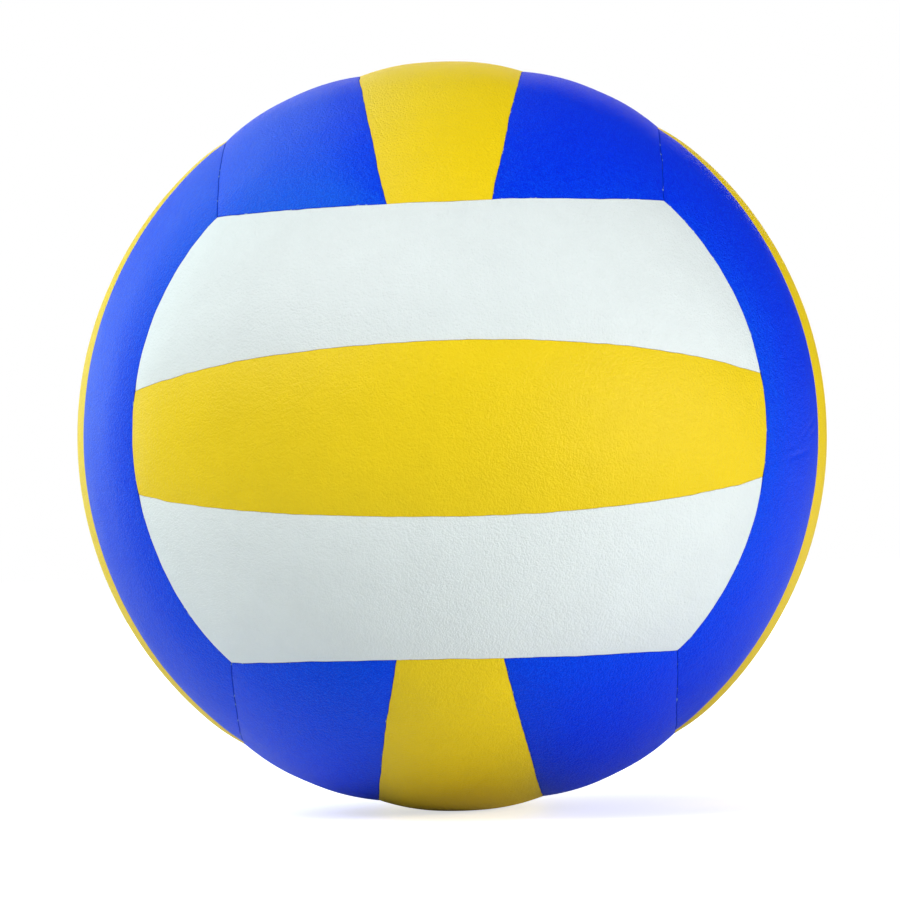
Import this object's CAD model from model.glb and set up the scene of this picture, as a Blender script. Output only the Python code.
import math

import bpy
import numpy as np
from mathutils import Matrix, Vector, noise


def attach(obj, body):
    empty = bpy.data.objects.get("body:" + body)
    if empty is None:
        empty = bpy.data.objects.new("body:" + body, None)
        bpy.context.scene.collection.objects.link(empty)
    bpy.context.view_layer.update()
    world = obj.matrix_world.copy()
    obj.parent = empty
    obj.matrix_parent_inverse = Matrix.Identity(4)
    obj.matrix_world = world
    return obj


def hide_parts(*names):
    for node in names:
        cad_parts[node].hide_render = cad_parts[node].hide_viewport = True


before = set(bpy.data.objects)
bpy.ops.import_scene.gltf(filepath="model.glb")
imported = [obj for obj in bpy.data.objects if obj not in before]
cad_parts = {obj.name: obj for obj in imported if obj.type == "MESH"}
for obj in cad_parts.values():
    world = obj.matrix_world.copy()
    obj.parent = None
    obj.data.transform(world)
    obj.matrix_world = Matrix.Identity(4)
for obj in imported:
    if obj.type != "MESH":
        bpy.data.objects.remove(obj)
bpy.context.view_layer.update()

# Lengths are in metres, and angles in degrees. The ball's centre is the origin, and its front faces -Y.
ball = {
    "radius": 0.105042,  # over the crowns of the panels
    "crownDrop": 0.001,  # how much lower a cover is at its seams
    "crownReach": 0.0165,  # width of the band where it rolls down
    "stripMiddle": 0.0465,  # width of a middle strip, halfway along
    "stripEnd": 0.028,  # and at its ends
    "restFlat": 0.104903,  # depth of the patch that the ball's weight flattens
}

view = {
    "distance": 1.3103,
    "yaw": -1.288,  # how the ball is turned in the photograph
    "pitch": -1.179,
    "roll": -1.571,
    "lens": 186.45,
    "shift": (-0.0023, -0.0154),
    "clip": (0.01, 50),
}


def deselectAll():
    if bpy.context.object and bpy.context.object.mode != "OBJECT":
        bpy.ops.object.mode_set(mode="OBJECT")
    bpy.ops.object.select_all(action="DESELECT")


def selectOnly(piece):
    deselectAll()
    piece.select_set(True)
    bpy.context.view_layer.objects.active = piece


# The camera goes round the ball by the ball's own turn in the photograph, so the ball stays upright
ballTurn = (
    Matrix.Rotation(math.radians(view["roll"]), 3, "Y")
    @ Matrix.Rotation(math.radians(view["pitch"]), 3, "X")
    @ Matrix.Rotation(math.radians(view["yaw"]), 3, "Z")
)
eye = ballTurn.transposed() @ Vector((0, -view["distance"], 0))
eyeTurn = ballTurn.transposed() @ Matrix.Rotation(math.radians(90), 3, "X")
cameraData = bpy.data.cameras.new("camera")
cameraData.lens = view["lens"]
cameraData.shift_x, cameraData.shift_y = view["shift"]
cameraData.clip_start, cameraData.clip_end = view["clip"]
camera = bpy.data.objects.new("camera", cameraData)
camera.matrix_world = Matrix.Translation(eye) @ eyeTurn.to_4x4()
bpy.context.scene.collection.objects.link(camera)
bpy.context.scene.camera = camera
print("camera placed")


# A socket that sums can be written with: each + - * / adds a Math node
class Wire:
    def __init__(self, tree, socket):
        self.tree, self.socket = tree, socket

    def maths(self, operation, *terms, clamp=False):
        node = self.tree.nodes.new("ShaderNodeMath")
        node.operation, node.use_clamp = operation, clamp
        for socket, term in zip(node.inputs, terms):
            if isinstance(term, Wire):
                self.tree.links.new(term.socket, socket)
            else:
                socket.default_value = term
        return Wire(self.tree, node.outputs[0])

    def __add__(self, other):
        return self.maths("ADD", self, other)

    def __sub__(self, other):
        return self.maths("SUBTRACT", self, other)

    def __rsub__(self, other):
        return self.maths("SUBTRACT", other, self)

    def __mul__(self, other):
        return self.maths("MULTIPLY", self, other)

    def __truediv__(self, other):
        return self.maths("DIVIDE", self, other)

    __radd__ = __add__
    __rmul__ = __mul__

    def clamped(self):
        return self.maths("ADD", self, 0, clamp=True)

    def orMore(self, other):
        return self.maths("MAXIMUM", self, other)


# The nodes of one material or of the world; add makes every node but the sums
class Finish:
    def __init__(self, tree):
        self.tree = tree
        tree.nodes.clear()

    def add(self, kind, settings=None, output=0, **values):
        node = self.tree.nodes.new("ShaderNode" + kind)
        for name, value in (settings or {}).items():
            setattr(node, name, value)
        for name, value in values.items():
            socket = node.inputs[int(name[1:]) if name[0] == "_" else name.replace("_", " ")]
            if isinstance(value, Wire):
                self.tree.links.new(value.socket, socket)
            else:
                socket.default_value = value
        return Wire(self.tree, node.outputs[output]) if node.outputs else None

    def place(self):
        return self.add("TexCoord", output="Object")

    def ray(self, kind):
        return self.add("LightPath", output="Is " + kind + " Ray")

    def noise(self, size, place=None, detail=2, roughness=0.5):
        where = place or self.place()
        return self.add("TexNoise", Vector=where, Scale=1 / size, Detail=detail, Roughness=roughness)

    def cells(self, size, feature, place, **values):
        return self.add("TexVoronoi", {"feature": feature}, Vector=place, Scale=1 / size, **values)

    def mix(self, share, first, second):
        return self.add("Mix", {"data_type": "RGBA"}, output=2, _0=share, _6=first, _7=second)

    def bump(self, height, depth, strength=1.0):
        return self.add("Bump", Height=height, Distance=depth, Strength=strength)


# A new material whose surface is what the given function returns
def makeMaterial(name, surface, *details):
    material = bpy.data.materials.new(name)
    material.use_nodes = True
    finish = Finish(material.node_tree)
    finish.add("OutputMaterial", Surface=surface(finish, *details))
    return material


# A colour as a socket takes it, made darker or lighter by share
def opaque(colour, share=1.0):
    return (colour[0] * share, colour[1] * share, colour[2] * share, 1)


noiseMiddle = 0.5  # the middle of a noise's values
# The grain is in parts: pebbles, the swell that they ride on, a slower drift, and a fine tooth between them
leather = {
    "pebble": 0.00050,
    "swell": 0.00085,
    "drift": 0.0025,
    "tooth": 0.00026,
    "smoothness": 0.5,  # of the pebbles
    "grainDepth": 0.00022,
    "grainStrength": 0.8,
    "lift": {"pebbles": 0.6, "tooth": 0.6, "drift": 0.8},  # in the height, where the swell's share is 1
    "pebbleMiddle": 0.35,
    "lighten": {"swell": 1.4, "pebbles": 0.5, "tooth": 4, "all": 0.4},  # from a hollow's tone to a tip's
    "roughness": 0.50,
    "roughen": {"swell": 0.12, "cloud": 0.08, "rim": 0.4},
    "cloud": 0.011,  # slow changes of tone
    "cloudTones": (0.95, 1.04),
    "rimBand": 0.0006,  # width over which the rim attribute rises to 1 at the cut edge
    # where a cut edge shows its pale core: in dashes, nearest to the edge
    "core": (0.36, 0.50, 0.66),
    "dash": 0.0016,
    "dashFrom": 0.64,
    "dashContrast": 16,
    "dashRim": 0.6,
    "dashRimContrast": 4,
}
# The rim's colour is also that of the grain's hollows, and it reaches rimWidth metres in from the cut
# edge. The tips of the grain have their own. Each share is how far the leather's colour gives way.
whiteLeather = {
    "colour": (0.835, 0.915, 0.910),
    "rim": (0.60, 0.62, 0.62),
    "rimShare": 0.45,
    "rimWidth": 0.00022,
    "tips": (0.86, 0.90, 0.90),
    "tipShare": 0.24,
    "hollowShare": 0.06,
    "gloss": 0.50,
    "glossTint": (1.0, 1.0, 1.0),
    "paleCore": False,
}
yellowLeather = {
    "colour": (0.93, 0.68, 0.001),
    "rim": (0.72, 0.42, 0.003),
    "rimShare": 0.5,
    "rimWidth": 0.00022,
    "tips": (0.98, 0.76, 0.02),
    "tipShare": 0.24,
    "hollowShare": 0.06,
    "gloss": 0.40,
    "glossTint": (1.0, 0.85, 0.6),
    "paleCore": False,
}
blueLeather = {
    "colour": (0.0002, 0.009, 0.98),
    "rim": (0.0001, 0.002, 0.60),
    "rimShare": 1.0,
    "rimWidth": 0.00030,
    "tips": (0.003, 0.055, 1.0),
    "tipShare": 1.0,
    "hollowShare": 0.40,
    "gloss": 0.60,
    "glossTint": (0.0, 1.0, 0.2),
    "paleCore": True,
}


# Embossed microfibre leather, with a rim that darkens into the seam
def leatherSurface(finish, look):
    place = finish.place()
    drift = finish.noise(leather["drift"], place)
    pebbles = finish.cells(leather["pebble"], "SMOOTH_F1", place, Smoothness=leather["smoothness"])
    swell = finish.noise(leather["swell"], place, roughness=0.6)
    tooth = finish.noise(leather["tooth"], place, detail=1)
    cloud = finish.noise(leather["cloud"], place, detail=3, roughness=0.6)
    lift, lighten, roughen = leather["lift"], leather["lighten"], leather["roughen"]
    height = (1 - pebbles) * lift["pebbles"] + swell + tooth * lift["tooth"] + drift * lift["drift"]

    rim = finish.add("Attribute", {"attribute_name": "rim"}, output="Fac")
    edge = 1 - (1 - rim) * (leather["rimBand"] / look["rimWidth"])
    tone = finish.mix(cloud, *(opaque(look["colour"], share) for share in leather["cloudTones"]))
    light = (swell - noiseMiddle) * lighten["swell"]
    light = light + (leather["pebbleMiddle"] - pebbles) * lighten["pebbles"]
    light = light + (tooth - noiseMiddle) * lighten["tooth"]
    hollow = finish.mix(look["hollowShare"], tone, opaque(look["rim"]))
    tip = finish.mix(look["tipShare"], tone, opaque(look["tips"]))
    tone = finish.mix((light + lighten["all"]).clamped(), hollow, tip)
    tone = finish.mix((edge * look["rimShare"]).clamped(), tone, opaque(look["rim"]))
    if look["paleCore"]:
        dashes = finish.noise(leather["dash"], place, detail=1) - leather["dashFrom"]
        shown = (dashes * leather["dashContrast"]).clamped()
        shown = shown * (rim - leather["dashRim"]) * leather["dashRimContrast"]
        tone = finish.mix(shown.clamped(), tone, opaque(leather["core"]))

    rough = (swell - noiseMiddle) * roughen["swell"] + leather["roughness"]
    rough = rough + (cloud - noiseMiddle) * roughen["cloud"] + edge.clamped() * roughen["rim"]
    return finish.add(
        "BsdfPrincipled",
        Base_Color=tone,
        Roughness=rough.clamped(),
        Normal=finish.bump(height, leather["grainDepth"], leather["grainStrength"]),
        Specular_IOR_Level=look["gloss"],
        Specular_Tint=opaque(look["glossTint"]),
    )


felt = {
    "pale": (0.24, 0.24, 0.24),
    "dyed": (0.004, 0.012, 0.07),
    "fibre": 0.0004,
    "fibreContrast": 1.4,
    "fibreFrom": 0.2,
    "fibreTones": (0.55, 1.4),
    "tuft": 0.003,
    "tuftLift": 0.5,
    "depth": 0.0002,
    "roughness": 0.95,
}


# The brushed felt on a cover's inner face and cut edges
def feltSurface(finish, colour):
    fibre = finish.noise(felt["fibre"], detail=5, roughness=0.7)
    tuft = finish.noise(felt["tuft"])
    share = (fibre * felt["fibreContrast"] - felt["fibreFrom"]).clamped()
    shade = finish.mix(share, *(opaque(colour, tone) for tone in felt["fibreTones"]))
    return finish.add(
        "BsdfPrincipled",
        Base_Color=finish.mix(tuft, shade, opaque(colour)),
        Roughness=felt["roughness"],
        Normal=finish.bump(fibre + tuft * felt["tuftLift"], felt["depth"]),
    )


foamLook = {
    "cell": 0.0006,
    "wallContrast": 6,
    "wall": (0.62, 0.60, 0.54),
    "patch": 0.006,  # slow changes between the two tones
    "tones": ((0.74, 0.72, 0.66), (0.80, 0.79, 0.74)),
    "depth": 0.00012,
    "roughness": 0.9,
}


def foamSurface(finish):
    place = finish.place()
    walls = (finish.cells(foamLook["cell"], "DISTANCE_TO_EDGE", place) * foamLook["wallContrast"]).clamped()
    patches = finish.noise(foamLook["patch"], place, detail=3, roughness=0.6)
    tone = finish.mix(patches, *(opaque(tone) for tone in foamLook["tones"]))
    return finish.add(
        "BsdfPrincipled",
        Base_Color=finish.mix(walls, opaque(foamLook["wall"]), tone),
        Roughness=foamLook["roughness"],
        Normal=finish.bump(walls, foamLook["depth"]),
    )


rubber = {
    "coarse": 8,  # how many times coarser the slow grain is
    "coarseTones": (0.8, 1.25),
    "depth": 0.00008,
    "strength": 0.6,
    "roughen": 0.2,
    # colour, grain, roughness
    "carcass": ((0.025, 0.025, 0.026), 0.0006, 0.6),
    "bladder": ((0.03, 0.03, 0.032), 0.0004, 0.42),
    "balance_patch": ((0.022, 0.022, 0.022), 0.0005, 0.7),
    "valve_stem": ((0.030, 0.030, 0.031), 0.0003, 0.55),
    "valve_plug": ((0.045, 0.045, 0.046), 0.0002, 0.45),
}


def rubberSurface(finish, colour, grain, roughness):
    place = finish.place()
    coarse = finish.noise(grain * rubber["coarse"], place, detail=3, roughness=0.6)
    fine = finish.noise(grain, place, roughness=0.6)
    return finish.add(
        "BsdfPrincipled",
        Base_Color=finish.mix(coarse, *(opaque(colour, tone) for tone in rubber["coarseTones"])),
        Roughness=(roughness + (fine - noiseMiddle) * rubber["roughen"]).clamped(),
        Normal=finish.bump(fine + coarse, rubber["depth"], rubber["strength"]),
    )


thread = {
    "turns": ((0, 0, 0), (1.1, 0.4, 0.2), (0.3, 1.3, 0.9)),  # of each layer, in radians
    "scale": 240,
    "unevenness": 1.5,
    "tones": ((0.40, 0.37, 0.29), (0.74, 0.71, 0.60)),
    "depth": 0.0003,
    "roughness": 0.55,
}


# Nylon thread wound every way round under cement: three layers of turns, the nearest on top
def threadSurface(finish):
    place = finish.place()
    height = total = None
    for turn in thread["turns"]:
        turned = finish.add("Mapping", {"vector_type": "TEXTURE"}, Vector=place, Rotation=turn)
        rounds = finish.add(
            "TexWave",
            {"bands_direction": "Z"},
            output="Fac",
            Vector=turned,
            Scale=thread["scale"],
            Distortion=thread["unevenness"],
            Detail=1,
        )
        height = height.orMore(rounds) if height else rounds
        total = total + rounds if total else rounds
    share = (total / len(thread["turns"])).clamped()
    return finish.add(
        "BsdfPrincipled",
        Base_Color=finish.mix(share, *(opaque(tone) for tone in thread["tones"])),
        Roughness=thread["roughness"],
        Normal=finish.bump(height, thread["depth"]),
    )


leathers = {
    "cover_white": makeMaterial("whiteLeather", leatherSurface, whiteLeather),
    "cover_yellow": makeMaterial("yellowLeather", leatherSurface, yellowLeather),
    "cover_blue": makeMaterial("blueLeather", leatherSurface, blueLeather),
}
paleFelt = makeMaterial("paleFelt", feltSurface, felt["pale"])
felts = {
    "cover_white": paleFelt,
    "cover_yellow": paleFelt,
    "cover_blue": makeMaterial("dyedFelt", feltSurface, felt["dyed"]),
}
foam = makeMaterial("paddingFoam", foamSurface)
innerFinishes = {
    "carcass": makeMaterial("carcassRubber", rubberSurface, *rubber["carcass"]),
    "winding": makeMaterial("woundNylon", threadSurface),
    "bladder": makeMaterial("butylRubber", rubberSurface, *rubber["bladder"]),
    "balance_patch": makeMaterial("patchRubber", rubberSurface, *rubber["balance_patch"]),
    "valve_stem": makeMaterial("stemRubber", rubberSurface, *rubber["valve_stem"]),
    "valve_plug": makeMaterial("plugRubber", rubberSurface, *rubber["valve_plug"]),
}
for name, finish in innerFinishes.items():
    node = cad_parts[name]
    node.data.materials.clear()
    node.data.materials.append(finish)
print("finishes mixed, and inner pieces dressed")


# A seam is where a plane cuts the ball: its normal and its latitude, with the strip on the low side.
# These are the seams of the front's strips. The side seams of three faces meet as a cube's edges do.
sideLatitude = math.asin(1 / math.sqrt(3))
halfStrip = ball["stripMiddle"] / 2 / ball["radius"]
narrowing = math.sin(halfStrip) - ball["stripEnd"] / 2 / ball["radius"]
seamTilt = math.atan(narrowing / (math.cos(halfStrip) - math.sin(sideLatitude)))
innerLatitude = halfStrip - seamTilt
innerUp = Vector((0, math.sin(seamTilt), math.cos(seamTilt)))
innerDown = Vector((0, math.sin(seamTilt), -math.cos(seamTilt)))
endSeam = (Vector((0, 1, 0)), -sideLatitude)
middleSeams = [endSeam, (innerUp, innerLatitude), (innerDown, innerLatitude)]
outerSeams = [endSeam, (-innerUp, -innerLatitude), (Vector((0, 0, 1)), sideLatitude)]

cover = {
    "segments": 180,  # faces round the whole ball, before each is cut in three
    "cuts": 2,
    "thickness": 0.0012,
    "setback": 0.00002,  # from the middle of the seam
    "rim": 0.00008,  # radius of the rolled rim
    "loops": (0.00003, 0.00008, 0.00016, 0.0003, 0.0006, 0.0012),
    "swell": 0.00007,  # how much the leather swells and sinks
    "slowSwells": 42,  # how many to the metre
    "quickSwells": 110,  # of half the height
    "faceShare": 0.9,  # of the thickness that counts as the outer face
    "facing": 0.2,  # cosine of the steepest slope that counts as the outer face
    "crease": 50,  # edges sharper than this stay hard
}
pad = {
    "segments": 120,
    "cuts": 1,
    "thickness": 0.0026,
    "setback": 0.0006,
    "bond": 0.00012,  # between pad and cover
    "rim": 0.0006,
    "loops": (0.0002, 0.0006),
}
coverRadius = ball["radius"]
padRadius = coverRadius - cover["thickness"] - pad["bond"]
cutting = {
    "onPlane": 1e-7,  # how near a point counts as on the plane
    "mergeCoarse": 0.0001,  # how near each other points merge, before the mesh is refined
    "mergeFine": 0.00001,  # and after
    "sortFrom": (0.31, 0.17, 0.23),
}


def readPlaces(piece):
    places = np.empty(len(piece.data.vertices) * 3)
    piece.data.vertices.foreach_get("co", places)
    places = places.reshape(-1, 3)
    return places, np.linalg.norm(places, axis=1)


def writePlaces(piece, places):
    piece.data.vertices.foreach_set("co", places.ravel())
    piece.data.update()


# How far each point lies inside every seam of its strip, along the surface
def seamDistances(directions, seams, setback):
    rows = []
    for normal, latitude in seams:
        height = np.clip(directions @ np.array(normal), -1, 1)
        rows.append((latitude - np.arcsin(height)) * ball["radius"] - setback)
    return np.array(rows)


# A cover drops towards a seam by the square of this share. At a corner, eighth powers blend the shares
# of two seams softly
def crownDrops(distances):
    share = np.clip(1 - np.maximum(distances, 0) / ball["crownReach"], 0, 1)
    return ball["crownDrop"] * (share**8).sum(0) ** (2 / 8)


def rimDrops(distances, rim):
    short = np.clip(rim - distances.min(0), 0, rim)
    return rim - np.sqrt(rim**2 - short**2)


# Points this near each other merge onto the first of them. A cut leaves its points in another order on
# each run, so they are sorted first, by how far they lie from a place on no plane of symmetry
def mergePoints(threshold):
    cursor = bpy.context.scene.cursor
    cursor.location = cutting["sortFrom"]
    bpy.ops.mesh.select_all(action="SELECT")
    bpy.ops.mesh.sort_elements(type="CURSOR_DISTANCE", elements={"VERT", "EDGE", "FACE"})
    bpy.ops.mesh.remove_doubles(threshold=threshold)
    cursor.location = (0, 0, 0)


# A strip is cut out of a coarse sphere along its seams, refined and pushed back out onto the ball,
# given close loops along its rim, then extruded outwards to its thickness
def cutStrip(name, seams, size, outerRadius):
    innerRadius = outerRadius - size["thickness"]
    deselectAll()
    bpy.ops.mesh.primitive_uv_sphere_add(
        segments=size["segments"], ring_count=size["segments"] // 2, radius=innerRadius
    )
    strip = bpy.context.object
    strip.name = name
    bpy.ops.object.mode_set(mode="EDIT")
    for inset in (0, *size["loops"]):
        for normal, latitude in seams:
            height = math.sin(latitude - (inset + size["setback"]) / ball["radius"])
            bpy.ops.mesh.select_all(action="SELECT")
            bpy.ops.mesh.bisect(
                plane_co=normal * innerRadius * height,
                plane_no=normal,
                clear_outer=inset == 0,
                threshold=cutting["onPlane"],
            )
        if inset == 0:
            mergePoints(cutting["mergeCoarse"])
            bpy.ops.mesh.subdivide(number_cuts=size["cuts"])
            bpy.ops.object.mode_set(mode="OBJECT")
            places, radii = readPlaces(strip)
            writePlaces(strip, places * (innerRadius / radii)[:, None])
            bpy.ops.object.mode_set(mode="EDIT")
    mergePoints(cutting["mergeFine"])
    bpy.ops.mesh.extrude_region()
    stretch = outerRadius / innerRadius
    bpy.ops.transform.resize(value=(stretch, stretch, stretch), center_override=(0, 0, 0))
    bpy.ops.mesh.select_all(action="SELECT")
    bpy.ops.mesh.normals_make_consistent(inside=False)
    bpy.ops.object.mode_set(mode="OBJECT")
    return strip


# The crown rolls down towards the seams, through the whole cover but on top of a pad only, and the
# outer rim is rounded. The rim attribute is 1 at the cut edge and 0 away from it
def rollStrip(strip, seams, size, outerRadius, rollThrough):
    places, radii = readPlaces(strip)
    directions = places / radii[:, None]
    distances = seamDistances(directions, seams, size["setback"])
    outside = radii > outerRadius - size["thickness"] / 2
    radii -= np.where(outside | rollThrough, crownDrops(distances), 0)
    radii -= np.where(outside, rimDrops(distances, size["rim"]), 0)
    writePlaces(strip, directions * radii[:, None])
    rim = np.where(outside, np.clip(1 - distances.min(0) / leather["rimBand"], 0, 1), 1)
    strip.data.attributes.new("rim", "FLOAT", "POINT").data.foreach_set("value", rim)


patterns = {}
for kind, seams in (("middle", middleSeams), ("outer", outerSeams)):
    leatherStrip = cutStrip(kind + "Leather", seams, cover, coverRadius)
    rollStrip(leatherStrip, seams, cover, coverRadius, True)
    foamStrip = cutStrip(kind + "Foam", seams, pad, padRadius)
    rollStrip(foamStrip, seams, pad, padRadius, False)
    patterns[kind] = (leatherStrip, foamStrip)
print("strips cut, with these numbers of faces:")
print({kind: [len(strip.data.polygons) for strip in pair] for kind, pair in patterns.items()})

# The front's strips are turned onto the other faces; a turn about the cube's diagonal swaps the axes
diagonal = Vector((1, 1, 1)).normalized()
halfTurn = math.pi
faceTurns = {
    "front": Matrix.Identity(3),
    "back": Matrix.Rotation(halfTurn, 3, "Z"),
    "left": Matrix.Rotation(halfTurn * 4 / 3, 3, diagonal),
    "right": Matrix.Rotation(halfTurn, 3, "Z") @ Matrix.Rotation(halfTurn * 4 / 3, 3, diagonal),
    "top": Matrix.Rotation(halfTurn, 3, "Y") @ Matrix.Rotation(halfTurn * 2 / 3, 3, diagonal),
    "bottom": Matrix.Rotation(halfTurn * 2 / 3, 3, diagonal),
}
stripNames = {
    "front": ("upper", "middle", "lower"),
    "back": ("upper", "middle", "lower"),
    "left": ("rear", "middle", "fore"),
    "right": ("fore", "middle", "rear"),
    "top": ("left", "middle", "right"),
    "bottom": ("right", "middle", "left"),
}


def copyPiece(pattern, name, turn):
    piece = pattern.copy()
    piece.data = pattern.data.copy()
    piece.name = piece.data.name = name
    piece.data.transform(turn.to_4x4())
    bpy.context.scene.collection.objects.link(piece)
    return piece


covers, pads, coverSlots = {}, {}, {}
for face, turn in faceTurns.items():
    for row, stripName in enumerate(stripNames[face]):
        leatherPattern, foamPattern = patterns["middle" if row == 1 else "outer"]
        ownTurn = turn @ Matrix.Rotation(halfTurn, 3, "Y") if row == 2 else turn
        label = face + "_" + stripName
        covers[label] = copyPiece(leatherPattern, "leather_" + label, ownTurn)
        pads[label] = copyPiece(foamPattern, "foam_" + label, ownTurn)
        outerSlot = "cover_white" if face in ("front", "back") else "cover_blue"
        coverSlots[label] = "cover_yellow" if row == 1 else outerSlot
for pair in patterns.values():
    for pattern in pair:
        bpy.data.objects.remove(pattern)
print("panels laid:", len(covers), "covers and", len(pads), "pads")

valve = {
    "holeRadius": 0.00475,
    "chamfer": 0.00025,
    "mouth": 0.0001,  # how far the leather at the hole lies under the ball's radius
    "drillLength": 0.03,
    "drillCentre": 0.1,  # along +Y
    "sides": 96,
    "clear": 0.008,  # no seam moves this near the valve's axis
}


# A round hole along the valve's axis; where its mouth is given, a cone of 45 degrees flares it
def cutValveHole(piece, mouthRadius=None):
    alongY = (math.radians(90), 0, 0)
    deselectAll()
    bpy.ops.mesh.primitive_cylinder_add(
        vertices=valve["sides"],
        radius=valve["holeRadius"],
        depth=valve["drillLength"],
        location=(0, valve["drillCentre"], 0),
        rotation=alongY,
    )
    tools = [bpy.context.object]
    if mouthRadius:
        halfCone = 4 * valve["chamfer"]
        deselectAll()
        bpy.ops.mesh.primitive_cone_add(
            vertices=valve["sides"],
            radius1=valve["holeRadius"] + halfCone,
            radius2=valve["holeRadius"] - halfCone,
            depth=2 * halfCone,
            location=(0, mouthRadius - valve["chamfer"], 0),
            rotation=alongY,
        )
        tools.append(bpy.context.object)
    for tool in tools:
        selectOnly(tool)
        bpy.ops.object.transform_apply(location=True, rotation=True, scale=True)
        selectOnly(piece)
        hole = piece.modifiers.new("valveHole", "BOOLEAN")
        hole.operation, hole.solver, hole.object = "DIFFERENCE", "EXACT", tool
        bpy.ops.object.modifier_apply(modifier=hole.name)
        bpy.data.objects.remove(tool)


cutValveHole(covers["back_middle"], coverRadius - valve["mouth"])
cutValveHole(pads["back_middle"])
print("valve hole cut")

laying = {
    # towards each direction, the seams were laid this far off; the shift fades over reach
    "reach": 0.035,
    "shifts": (
        ((-1.4, -1, -0.75), (0.00126, 0, -0.00032)),
        ((-1.4, -1, 0), (0.00064, 0, -0.00026)),
        ((-1.4, -1, 0.75), (0.00004, 0, -0.00072)),
        ((-0.45, -1, -0.75), (-0.00112, 0, -0.00032)),
        ((-0.45, -1, 0), (0.00066, 0, 0.00047)),
        ((-0.45, -1, 0.75), (0.00015, 0, -0.00066)),
        ((0.45, -1, -0.75), (0.00015, 0, -0.00024)),
        ((0.45, -1, 0), (0.00076, 0, -0.00027)),
        ((0.45, -1, 0.75), (0.00006, 0, 0.00080)),
        ((1.4, -1, -0.75), (0.00056, 0, -0.00115)),
        ((1.4, -1, 0), (0.00179, 0, -0.00004)),
        ((1.4, -1, 0.75), (-0.00009, 0, 0.00025)),
    ),
    # how the seams wander besides: waves to the metre, and how far
    "wanders": ((60, 0.00025), (260, 0.00018)),
    "seed": 3,  # without one, they would wander another way on each run
}
noise.seed_set(laying["seed"])
# Faint folds in the blue leather on the right: start, end, depth, half width
folds = (
    ((0.0893, -0.0530, -0.0075), (0.1015, -0.0270, -0.0010), 0.00045, 0.0009),
    ((0.0900, -0.0525, -0.0100), (0.0985, -0.0360, -0.0072), 0.00032, 0.0008),
    ((0.0945, -0.0450, -0.0050), (0.1010, -0.0280, 0.0030), 0.00022, 0.0008),
)
foldMesh = {"least": 0.000001, "cuts": 3}  # how deep a fold has to be for finer faces, and how fine


# Panels are laid by hand: their seams are a little off, by the same on both sides of each
def layByHand(piece):
    places, radii = readPlaces(piece)
    outward = places / radii[:, None]
    spots = [Vector(spot) for spot in outward * ball["radius"]]
    drift = np.zeros((len(places), 3))
    for waves, furthest in laying["wanders"]:
        drift += np.array([noise.noise_vector(spot * waves) for spot in spots]) * furthest
    for towards, shift in laying["shifts"]:
        away = np.linalg.norm(outward - np.array(Vector(towards).normalized()), axis=1) * ball["radius"]
        drift += np.exp(-((away / laying["reach"]) ** 2) / 2)[:, None] * np.array(shift)
    fromValve = np.where(places[:, 1] > 0, np.hypot(places[:, 0], places[:, 2]), 1)
    drift *= np.clip(fromValve / valve["clear"] - 1, 0, 1)[:, None]
    drift -= (drift * outward).sum(1)[:, None] * outward
    places += drift
    writePlaces(piece, places * (radii / np.linalg.norm(places, axis=1))[:, None])


# How far the folds sink the leather: deepest halfway along, and gone at their ends
def foldDepths(places):
    depths = np.zeros(len(places))
    for start, end, depth, halfWidth in folds:
        start, along = np.array(start), np.array(end) - np.array(start)
        share = np.clip((places - start) @ along / (along @ along), 0, 1)
        away = np.linalg.norm(places - start - share[:, None] * along, axis=1)
        depths += depth * np.sin(math.pi * share) * np.exp(-((away / halfWidth) ** 2))
    return depths


# The mesh is made finer where a fold crosses the leather
def refineAtFolds(piece):
    centres = np.array([polygon.center for polygon in piece.data.polygons])
    outside = np.linalg.norm(centres, axis=1) > coverRadius - ball["crownDrop"]
    touched = outside & (foldDepths(centres) > foldMesh["least"])
    if not touched.any():
        return
    selectOnly(piece)
    bpy.ops.object.mode_set(mode="EDIT")
    bpy.ops.mesh.select_mode(type="FACE")
    bpy.ops.mesh.select_all(action="DESELECT")
    bpy.ops.object.mode_set(mode="OBJECT")
    piece.data.polygons.foreach_set("select", touched)
    bpy.ops.object.mode_set(mode="EDIT")
    bpy.ops.mesh.subdivide(number_cuts=foldMesh["cuts"], smoothness=1)
    bpy.ops.object.mode_set(mode="OBJECT")
    print("folds made finer on", piece.name, "at", int(touched.sum()), "faces")


# Leather over soft foam swells and sinks slowly, and the cover under the ball is pressed flat
def settleLeather(piece):
    places, radii = readPlaces(piece)
    apart = Vector((7, 0, 0))  # keeps the two swells from rising together
    swell = np.array([noise.noise(Vector(spot) * cover["slowSwells"]) for spot in places])
    swell += np.array([noise.noise(Vector(spot) * cover["quickSwells"] + apart) for spot in places]) / 2
    outside = radii > coverRadius - ball["crownDrop"] - cover["thickness"]
    lift = np.where(outside, swell * cover["swell"] - foldDepths(places), 0)
    places *= (1 + lift / radii)[:, None]
    places[:, 2] = np.maximum(places[:, 2], -ball["restFlat"])
    writePlaces(piece, places)


# Leather on the outer face, felt on the inner face and on the cut edges
def dressCover(piece, slot):
    piece.data.materials.clear()
    piece.data.materials.append(leathers[slot])
    piece.data.materials.append(felts[slot])
    lowest = coverRadius - cover["thickness"] * cover["faceShare"] - ball["crownDrop"]
    for polygon in piece.data.polygons:
        radius = polygon.center.length
        facesOut = polygon.normal.dot(polygon.center) > cover["facing"] * radius
        polygon.material_index = 0 if facesOut and radius > lowest else 1


def smoothShade(piece):
    selectOnly(piece)
    bpy.ops.object.shade_smooth_by_angle(angle=math.radians(cover["crease"]))


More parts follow.
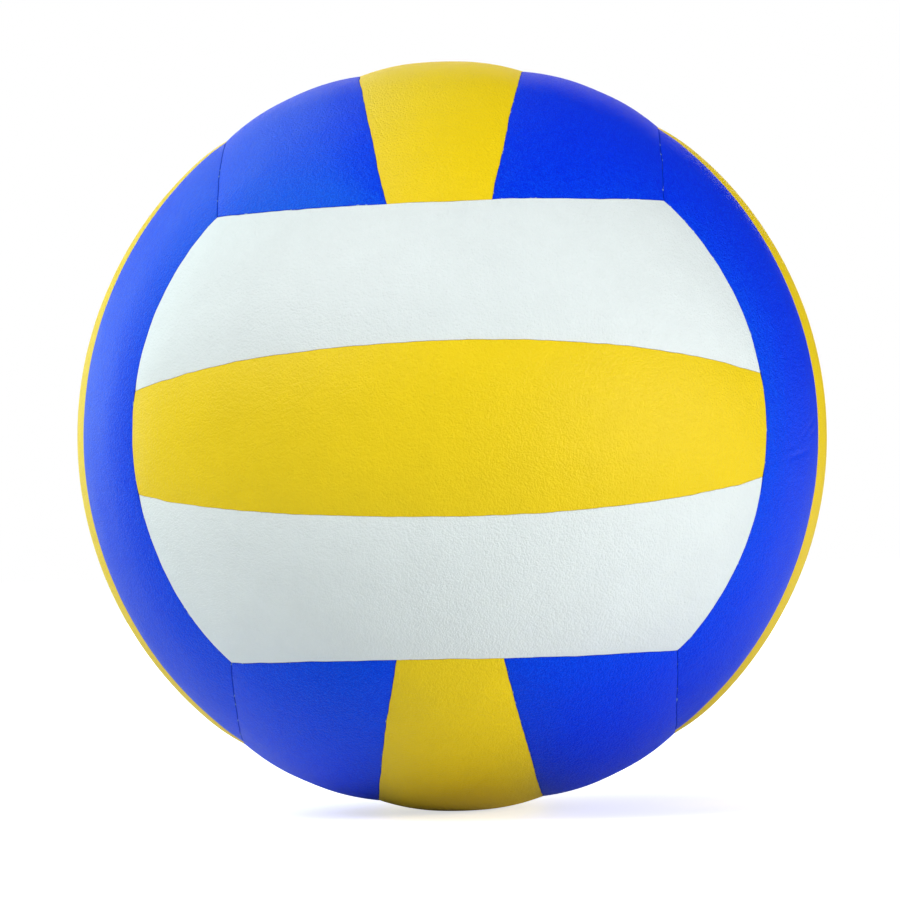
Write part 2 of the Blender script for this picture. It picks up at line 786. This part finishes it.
for label, piece in covers.items():
    layByHand(piece)
    refineAtFolds(piece)
    settleLeather(piece)
    smoothShade(piece)
    dressCover(piece, coverSlots[label])
    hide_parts("cover_" + label)
    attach(piece, "root")
print("covers settled and dressed")

for label, piece in pads.items():
    layByHand(piece)
    smoothShade(piece)
    piece.data.materials.clear()
    piece.data.materials.append(foam)
    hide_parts("pad_" + label)
    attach(piece, "root")
print("pads dressed")

studio = {
    "floorSize": 16,
    "floorColour": (0.82, 0.82, 0.82),
    "paleNear": 0.50,  # how brightly the floor glows to the camera under the ball
    "paleFar": 1.0,  # and away from it
    "paleStart": 0.07,  # how far from the ball's centre the glow begins to rise
    "paleReach": 0.13,  # and over what distance
    "ambient": 0.10,
    "gloss": 0.04,  # how bright the studio is in reflections
    "lampDistance": 3.0,
    # the cool lamps stand behind the ball on the left, and the warm one makes up for them on its back
    "tints": {"plain": (1, 1, 1), "cool": (0.76, 1.0, 0.97), "warm": (1.0, 0.84, 0.85)},
    # azimuth from the camera, elevation, size, watts, tint
    "lamps": {
        "key": (-63, 45, 1.9, 60, "plain"),
        "fill": (-30, 50, 1.6, 6, "plain"),
        "low": (61, 9, 1.0, 59, "plain"),
        "rim": (-120, 35, 1.6, 13, "cool"),
        "edge": (-135, 6, 1.6, 17, "cool"),
        "crown": (-150, 40, 1.6, 11, "cool"),
        "behind": (180, 12, 1.6, 16, "warm"),
    },
}


# 1 to the camera and dim in reflections
def paperWhite(finish):
    seen = finish.ray("Camera") + finish.ray("Transmission")
    return seen.orMore(finish.ray("Glossy") * studio["gloss"])


# Paper that glows white to the camera, while the ball's shadow still falls on it
def floorSurface(finish):
    seen = paperWhite(finish)
    away = finish.add("VectorMath", {"operation": "LENGTH"}, output="Value", _0=finish.place())
    share = ((away - studio["paleStart"]) / studio["paleReach"]).clamped()
    pale = share * (studio["paleFar"] - studio["paleNear"]) + studio["paleNear"]
    paper = finish.add("BsdfDiffuse", Color=opaque(studio["floorColour"]))
    glow = finish.add("Emission", Color=(1, 1, 1, 1), Strength=seen * pale)
    return finish.add("AddShader", _0=paper, _1=glow)


deselectAll()
bpy.ops.mesh.primitive_plane_add(size=studio["floorSize"], location=(0, 0, -ball["restFlat"]))
floor = bpy.context.object
floor.name = "floor"
bpy.ops.object.transform_apply(location=True)
floor.data.materials.append(makeMaterial("paperSweep", floorSurface))

world = bpy.data.worlds.new("studio")
bpy.context.scene.world = world
world.use_nodes = True
air = Finish(world.node_tree)
glow = paperWhite(air).orMore(air.ray("Diffuse") * studio["ambient"])
sky = air.add("Background", Color=(1, 1, 1, 1), Strength=glow)
air.add("OutputWorld", Surface=sky)

for name, (azimuth, elevation, size, watts, tint) in studio["lamps"].items():
    lampData = bpy.data.lights.new(name, "AREA")
    lampData.shape, lampData.size, lampData.energy = "DISK", size, watts
    lampData.color = studio["tints"][tint]
    turn, rise = math.radians(azimuth), math.radians(elevation)
    away = Vector((math.sin(turn) * math.cos(rise), -math.cos(turn) * math.cos(rise), math.sin(rise)))
    lamp = bpy.data.objects.new(name, lampData)
    lamp.location = away * studio["lampDistance"]
    lamp.rotation_euler = (-away).to_track_quat("-Z", "Y").to_euler()
    bpy.context.scene.collection.objects.link(lamp)
bpy.context.scene.view_settings.view_transform = "Standard"
print("studio lit")
